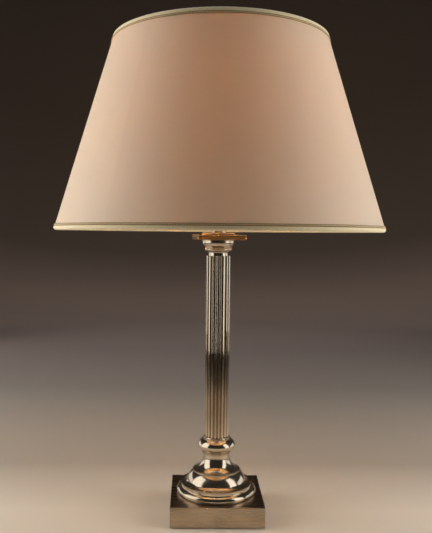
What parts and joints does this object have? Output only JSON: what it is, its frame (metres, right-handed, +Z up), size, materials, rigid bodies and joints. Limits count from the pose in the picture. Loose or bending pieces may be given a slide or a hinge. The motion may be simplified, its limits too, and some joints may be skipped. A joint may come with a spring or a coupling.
{
  "type": "column table lamp",
  "caption": "Table lamp with a fluted column on a stepped turned foot and square plinth, under a conical fabric shade.",
  "frame": {"origin": "centre of the underside, where the felt pad rests on the table", "axes": "+Z up along the column and the bulb; the front looks along -Y and the cord enters at the back, +Y"},
  "size_m": [0.4484, 0.4484, 0.6533],
  "materials": {
    "plinth_plate": "satin silver plate over cast brass, brushed, worn warm",
    "silver_plate": "polished silver plate over brass, slightly tarnished in the hollows",
    "steel": "zinc plated",
    "iron": "as cast, black varnish",
    "felt": "dark green wool felt",
    "rubber": "matt black",
    "porcelain": "glazed white",
    "contact_brass": "bright pressed brass",
    "black_plastic": "moulded phenolic, half gloss",
    "bulb_metal": "drawn, half bright",
    "black_glass": "black glass",
    "bulb_glass": "clear, slightly warm",
    "tungsten": "drawn wire",
    "coated_wire": "white baked coating",
    "shade_fabric": "champagne satin on a stiff liner",
    "shade_tape": "cream tape",
    "shade_braid": "olive gold braid"
  },
  "bodies": {
    "stand": {"plinth": "plinth_plate", "base_plate": "steel", "base_screws": "steel", "felt_pad": "felt", "base_weight": "iron", "base_washer": "steel", "base_nut": "steel", "cord_bush": "rubber", "threaded_tube": "steel", "foot_ring": "silver_plate", "base_drum": "silver_plate", "base_neck": "silver_plate", "collar_ring": "silver_plate", "column_shaft": "silver_plate", "capital": "silver_plate", "abacus": "plinth_plate", "holder_disc": "silver_plate", "holder_stem": "silver_plate", "holder_cap": "silver_plate", "holder_locknut": "steel", "holder_core": "porcelain", "screw_shell": "contact_brass", "centre_contact": "contact_brass", "terminal_screws": "contact_brass", "holder_skirt": "silver_plate"},
    "switch": {"switch_bar": "black_plastic"},
    "bulb": {"bulb_contact": "contact_brass", "bulb_insulator": "black_glass", "bulb_cap": "bulb_metal", "bulb_glass": "bulb_glass", "bulb_stem": "bulb_glass", "bulb_filament": "tungsten"},
    "shade": {"shade_hub": "coated_wire", "shade_spokes": "coated_wire", "shade_cover": "shade_fabric", "shade_lower_wire": "coated_wire", "shade_upper_wire": "coated_wire", "shade_lower_binding": "shade_tape", "shade_upper_binding": "shade_tape", "shade_lower_braid": "shade_braid", "shade_upper_braid": "shade_braid"},
    "clamp_ring": {"shade_clamp_ring": "black_plastic"}
  },
  "joints": [
    {"name": "switch_push", "type": "slide", "parent": "stand", "child": "switch", "axis": [1, 0, 0], "range_m": [0, 0.005]},
    {"name": "bulb_turn", "type": "hinge", "parent": "stand", "child": "bulb", "pos_m": [0, 0, 0.4335], "axis": [0, 0, 1], "range_deg": [0, 1800]},
    {"name": "clamp_ring_turn", "type": "hinge", "parent": "stand", "child": "clamp_ring", "pos_m": [0, 0, 0.4419], "axis": [0, 0, 1], "range_deg": [0, 1080]},
    {"name": "shade_turn", "type": "hinge", "parent": "stand", "child": "shade", "pos_m": [0, 0, 0.44], "axis": [0, 0, 1], "continuous": true}
  ]
}
